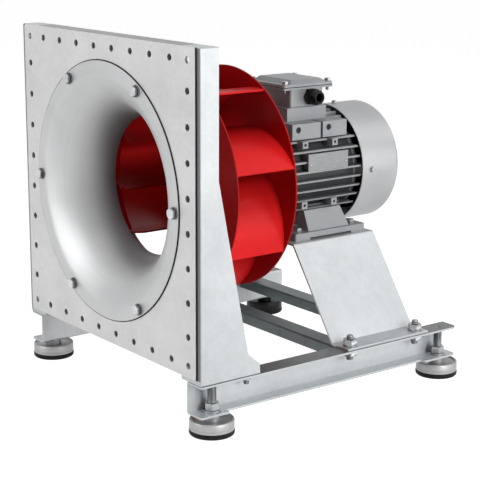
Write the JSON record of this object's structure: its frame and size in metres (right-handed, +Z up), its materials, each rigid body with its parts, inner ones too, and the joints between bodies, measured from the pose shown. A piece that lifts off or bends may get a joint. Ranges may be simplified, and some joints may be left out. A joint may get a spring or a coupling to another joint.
{
  "type": "plug fan",
  "caption": "Free-running plug fan: square inlet plate with bell-shaped nozzle, backward-curved impeller on a finned foot motor, folded pedestal and channel rails on round rubber feet.",
  "frame": {"origin": "fan axis in the front face of the inlet plate, at the middle of the corner holes", "axes": "+X to the right seen from the inlet, +Y back along the shaft towards the motor, +Z up"},
  "size_m": [0.467, 0.4729, 0.498],
  "materials": {
    "galvanised": "galvanised sheet, satin",
    "zinc": "bright zinc plated",
    "cup_metal": "turned, satin",
    "rubber": "matte black",
    "motor_paint": "silver-grey paint on castings",
    "core_steel": "machined steel",
    "winding": "varnished copper winding",
    "moulding": "black moulding",
    "bare_plate": "bare plate",
    "impeller_paint": "glossy red coating",
    "hub_iron": "turned"
  },
  "bodies": {
    "frame": {"inlet_plate": "galvanised", "inlet_nozzle": "galvanised", "stiffener_top": "galvanised", "stiffener_bottom": "galvanised", "bracket_left": "galvanised", "bracket_right": "galvanised", "rail_left": "galvanised", "rail_right": "galvanised", "crossbar_front": "galvanised", "crossbar_rear": "galvanised", "motor_pedestal": "galvanised", "nozzle_bolts": "zinc", "nozzle_washers": "zinc", "nozzle_nuts": "zinc", "bracket_bolts": "zinc", "bracket_nuts": "zinc", "pedestal_studs": "zinc", "pedestal_washers": "zinc", "pedestal_nuts": "zinc", "motor_foot_bolts": "zinc", "motor_foot_nuts": "zinc", "foot_studs": "zinc", "foot_nuts": "zinc", "foot_washers": "zinc", "shield_bolts": "zinc", "cowl_screws": "zinc", "lid_screws": "zinc", "foot_cups": "cup_metal", "foot_pads": "rubber", "shaft_seal": "rubber", "lid_gasket": "rubber", "motor_housing": "motor_paint", "motor_foot_left": "motor_paint", "motor_foot_right": "motor_paint", "end_shield_front": "motor_paint", "end_shield_rear": "motor_paint", "fan_cowl": "motor_paint", "terminal_box": "motor_paint", "terminal_lid": "motor_paint", "stator_core": "core_steel", "bearing_outer_rings": "core_steel", "stator_windings": "winding", "terminal_block": "moulding", "gland_body": "moulding", "gland_nut": "moulding", "nameplate": "bare_plate", "nameplate_rivets": "bare_plate"},
    "rotor": {"motor_shaft": "core_steel", "shaft_key": "core_steel", "rotor_core": "core_steel", "cooling_fan": "moulding", "bearing_inner_rings": "core_steel", "impeller_hub": "hub_iron", "hub_bolts": "zinc", "impeller_back_plate": "impeller_paint", "impeller_shroud": "impeller_paint", "impeller_blades": "impeller_paint", "shaft_end_washer": "zinc", "shaft_end_bolt": "zinc"},
    "ball_sets": {"bearing_balls": "core_steel"}
  },
  "joints": [
    {"name": "rotor_spin", "type": "hinge", "parent": "frame", "child": "rotor", "pos_m": [0, 0.3, 0], "axis": [0, -1, 0], "continuous": true},
    {"name": "ball_orbit", "type": "hinge", "parent": "frame", "child": "ball_sets", "pos_m": [0, 0.3, 0], "axis": [0, -1, 0], "continuous": true}
  ],
  "couplings": [
    {"joint": "ball_orbit", "follows": "rotor_spin", "ratio": 0.4}
  ]
}
